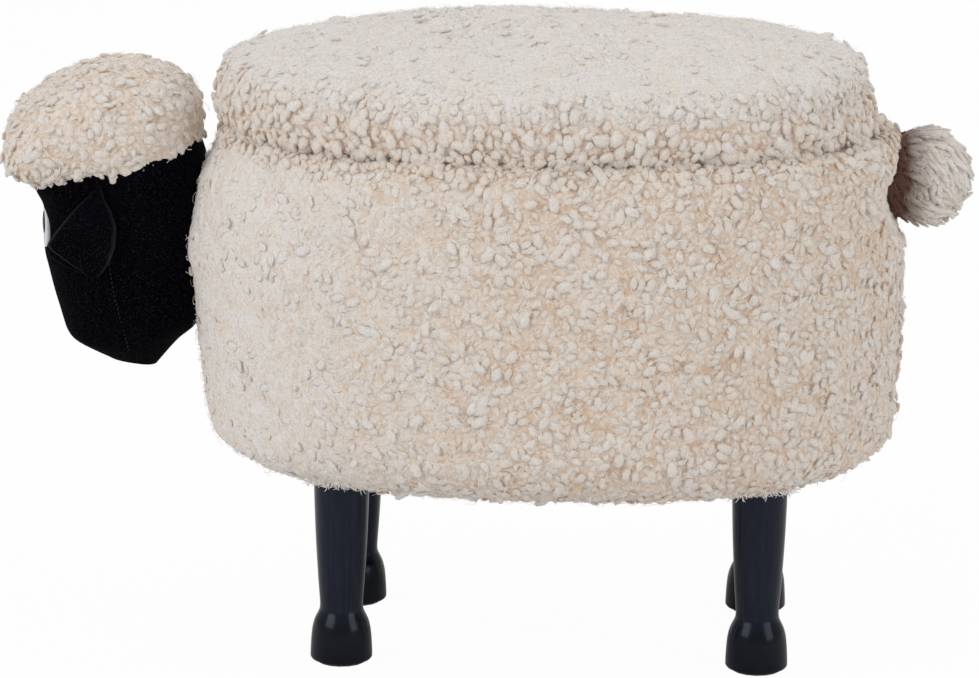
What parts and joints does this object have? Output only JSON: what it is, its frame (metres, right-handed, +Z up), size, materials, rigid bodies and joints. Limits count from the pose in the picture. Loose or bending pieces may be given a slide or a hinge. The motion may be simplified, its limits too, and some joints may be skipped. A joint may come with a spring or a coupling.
{
  "type": "animal storage footstool",
  "caption": "Oval fleece-covered storage footstool in the shape of a sheep: lift-off padded lid, stuffed head, pompom tail and turned black legs.",
  "frame": {"origin": "on the floor, under the middle of the overall length and width", "axes": "+X from the head to the tail, +Y to the animal's right, +Z up"},
  "size_m": [0.661, 0.346, 0.4373],
  "materials": {
    "fleece": "curly cream fleece pile",
    "black_felt": "matt black brushed felt",
    "leg_lacquer": "black satin lacquer on turned wood",
    "plywood": "bare plywood",
    "foam": "open-cell foam",
    "stuffing": "white fibre stuffing",
    "lining_cloth": "dark grey non-woven lining",
    "dust_cloth": "black non-woven cloth",
    "steel": "zinc-plated steel",
    "glide_felt": "pressed felt",
    "eye_white": "satin white",
    "pupil_black": "satin black"
  },
  "bodies": {
    "stool": {"base_board": "plywood", "side_wall": "plywood", "rim_hoop": "plywood", "floor_panel": "lining_cloth", "tub_lining": "lining_cloth", "body_fleece": "fleece", "hem_band": "fleece", "side_foam": "foam", "dust_cloth": "dust_cloth", "front_left_leg": "leg_lacquer", "front_right_leg": "leg_lacquer", "rear_left_leg": "leg_lacquer", "rear_right_leg": "leg_lacquer", "front_left_glide": "glide_felt", "front_right_glide": "glide_felt", "rear_left_glide": "glide_felt", "rear_right_glide": "glide_felt", "front_left_leg_bolt": "steel", "front_right_leg_bolt": "steel", "rear_left_leg_bolt": "steel", "rear_right_leg_bolt": "steel", "front_left_tee_nut": "steel", "front_right_tee_nut": "steel", "rear_left_tee_nut": "steel", "rear_right_tee_nut": "steel", "base_screw_1": "steel", "base_screw_2": "steel", "base_screw_3": "steel", "base_screw_4": "steel", "base_screw_5": "steel", "base_screw_6": "steel", "hoop_screw_1": "steel", "hoop_screw_2": "steel", "hoop_screw_3": "steel", "hoop_screw_4": "steel", "face_cover": "black_felt", "head_stuffing": "stuffing", "head_block": "plywood", "lower_head_bolt": "steel", "upper_head_bolt": "steel", "lower_head_nut": "steel", "upper_head_nut": "steel", "head_cap": "fleece", "left_ear": "black_felt", "right_ear": "black_felt", "left_eye": "eye_white", "right_eye": "eye_white", "left_pupil": "pupil_black", "right_pupil": "pupil_black", "tail_pompom": "fleece", "tail_stuffing": "stuffing"},
    "lid": {"lid_fleece": "fleece", "lid_foam": "foam", "lid_board": "plywood", "locating_board": "plywood", "lid_lining": "lining_cloth", "lid_screw_1": "steel", "lid_screw_2": "steel", "lid_screw_3": "steel", "lid_screw_4": "steel"}
  },
  "joints": [
    {"name": "lid_lift", "type": "slide", "parent": "stool", "child": "lid", "axis": [0, 0, 1], "range_m": [0, 0.15]}
  ]
}
